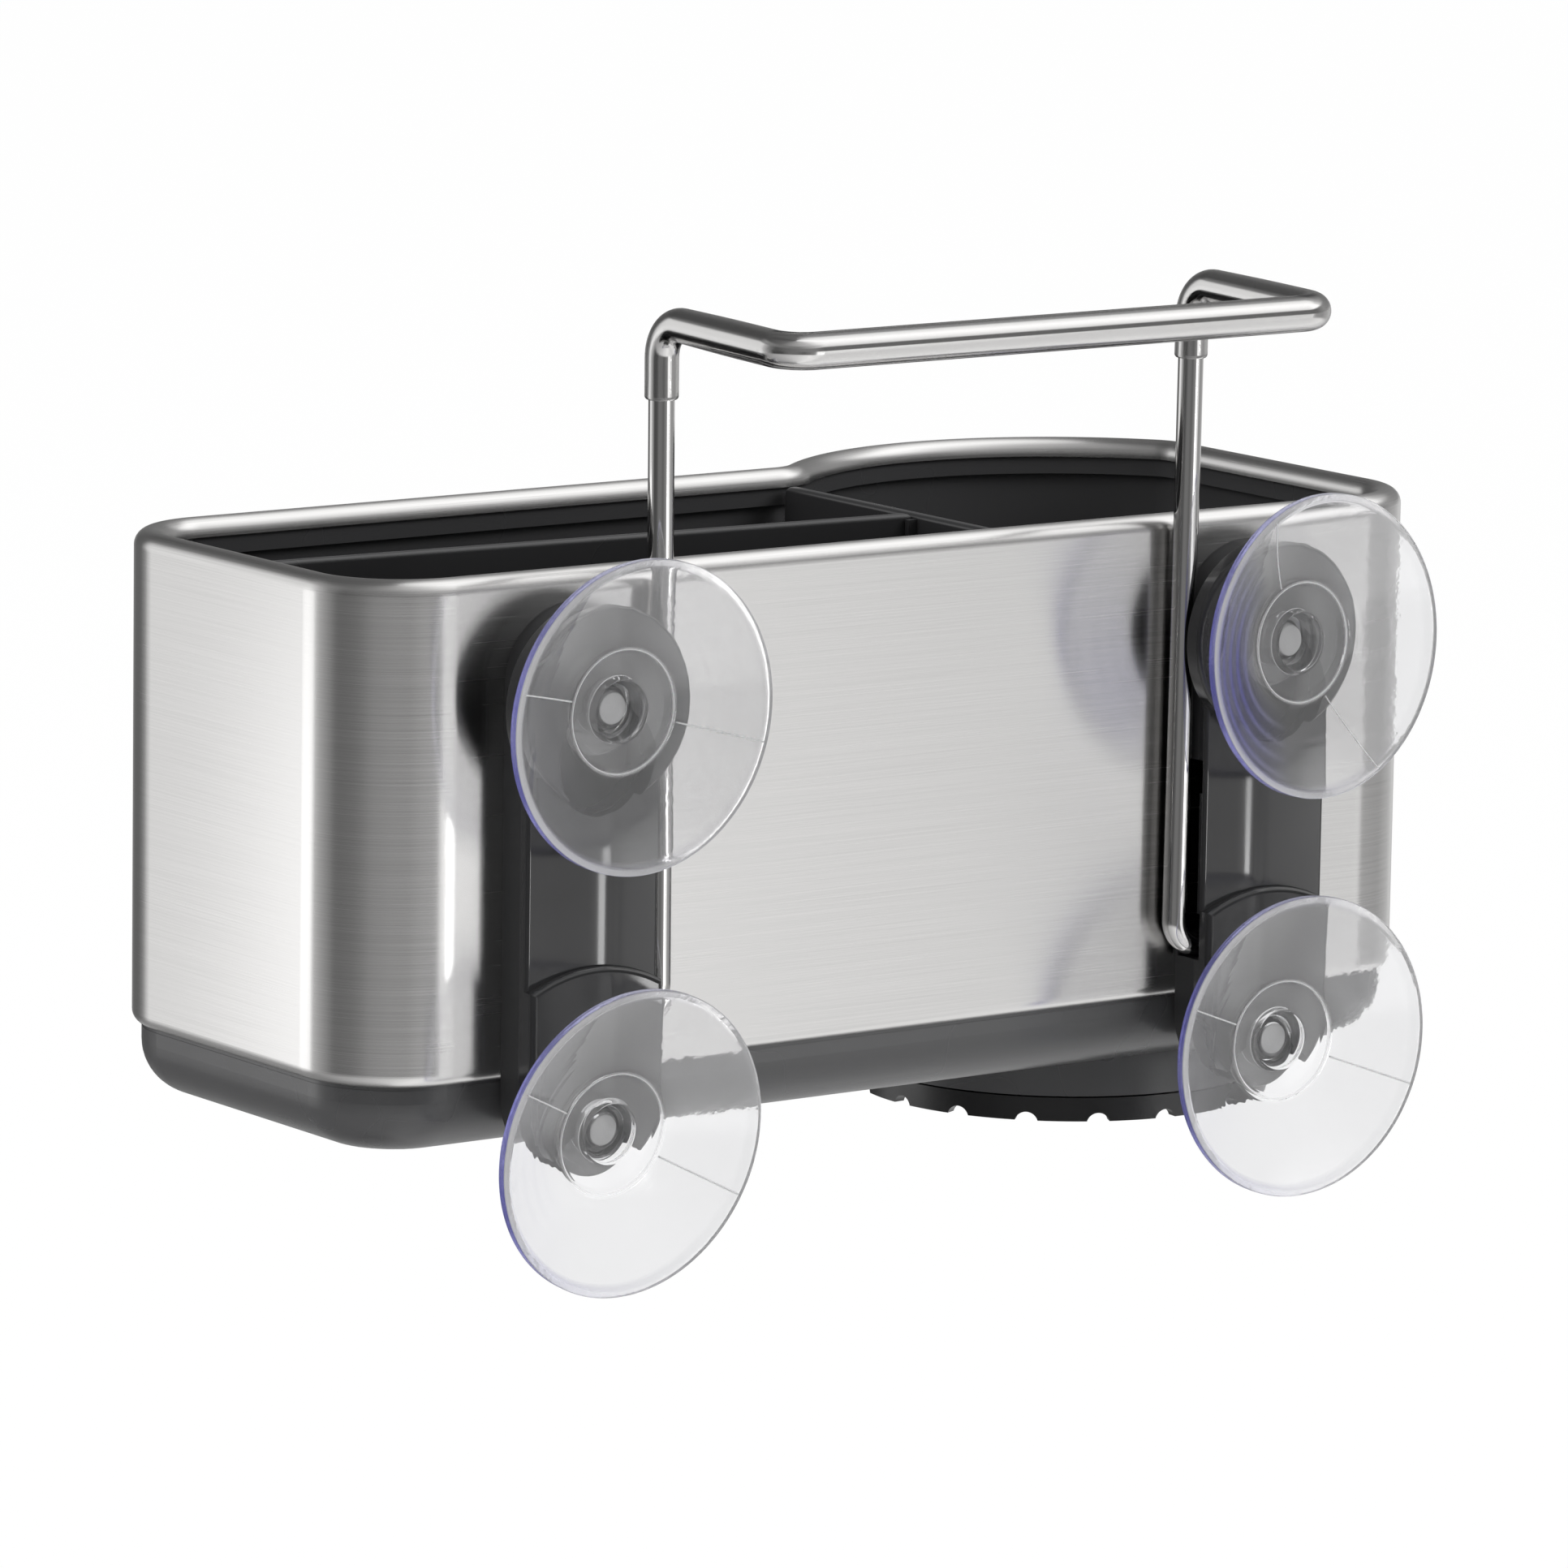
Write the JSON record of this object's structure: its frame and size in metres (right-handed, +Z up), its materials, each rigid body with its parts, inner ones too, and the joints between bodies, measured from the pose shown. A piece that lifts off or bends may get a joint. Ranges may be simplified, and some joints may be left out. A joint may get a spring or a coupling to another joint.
{
  "type": "suction mounted sink caddy",
  "caption": "Brushed steel sink caddy with a divided sponge bin, a round brush compartment, a drain cap, a wire cloth rail and suction cups.",
  "frame": {"origin": "centre of the four suction cups, on the plane of the sink wall they grip", "axes": "+Y points into the sink wall, -Y is the front with the round brush compartment on the -X side, +X runs to the long sponge end, +Z is up"},
  "size_m": [0.2475, 0.1543, 0.1774],
  "materials": {
    "sleeve_steel": "brushed lengthwise",
    "bin_plastic": "satin",
    "bracket_plastic": "semi gloss",
    "screw_steel": "plain",
    "cap_plastic": "satin",
    "divider_plastic": "satin",
    "wire_steel": "polished",
    "clear_tube": "clear gloss",
    "clear_vinyl": "clear gloss with a violet edge"
  },
  "bodies": {
    "suction_cups": {"cup_upper_left": "clear_vinyl", "cup_upper_right": "clear_vinyl", "cup_lower_left": "clear_vinyl", "cup_lower_right": "clear_vinyl"},
    "caddy": {"bin": "bin_plastic", "steel_sleeve": "sleeve_steel", "bracket_left": "bracket_plastic", "bracket_right": "bracket_plastic", "bracket_screws": "screw_steel"},
    "cloth_rail": {"wire_bar": "wire_steel", "bar_tube": "clear_tube"},
    "cross_plate": {"cross_divider": "divider_plastic"},
    "sponge_plate": {"sponge_divider": "divider_plastic"},
    "drain_plug": {"drain_cap": "cap_plastic"}
  },
  "joints": [
    {"name": "caddy_lift", "type": "slide", "parent": "suction_cups", "child": "caddy", "axis": [0, 0, 1], "range_m": [0, 0.01]},
    {"name": "rail_lift", "type": "slide", "parent": "caddy", "child": "cloth_rail", "axis": [0, 0, 1], "range_m": [0, 0.031]},
    {"name": "cross_divider_lift", "type": "slide", "parent": "caddy", "child": "cross_plate", "axis": [0, 0, 1], "range_m": [0, 0.1]},
    {"name": "sponge_divider_lift", "type": "slide", "parent": "caddy", "child": "sponge_plate", "axis": [0, 0, 1], "range_m": [0, 0.1]},
    {"name": "drain_cap_turn", "type": "hinge", "parent": "caddy", "child": "drain_plug", "pos_m": [-0.0755, -0.0747, -0.055], "axis": [0, 0, 1], "range_deg": [0, 30]}
  ]
}
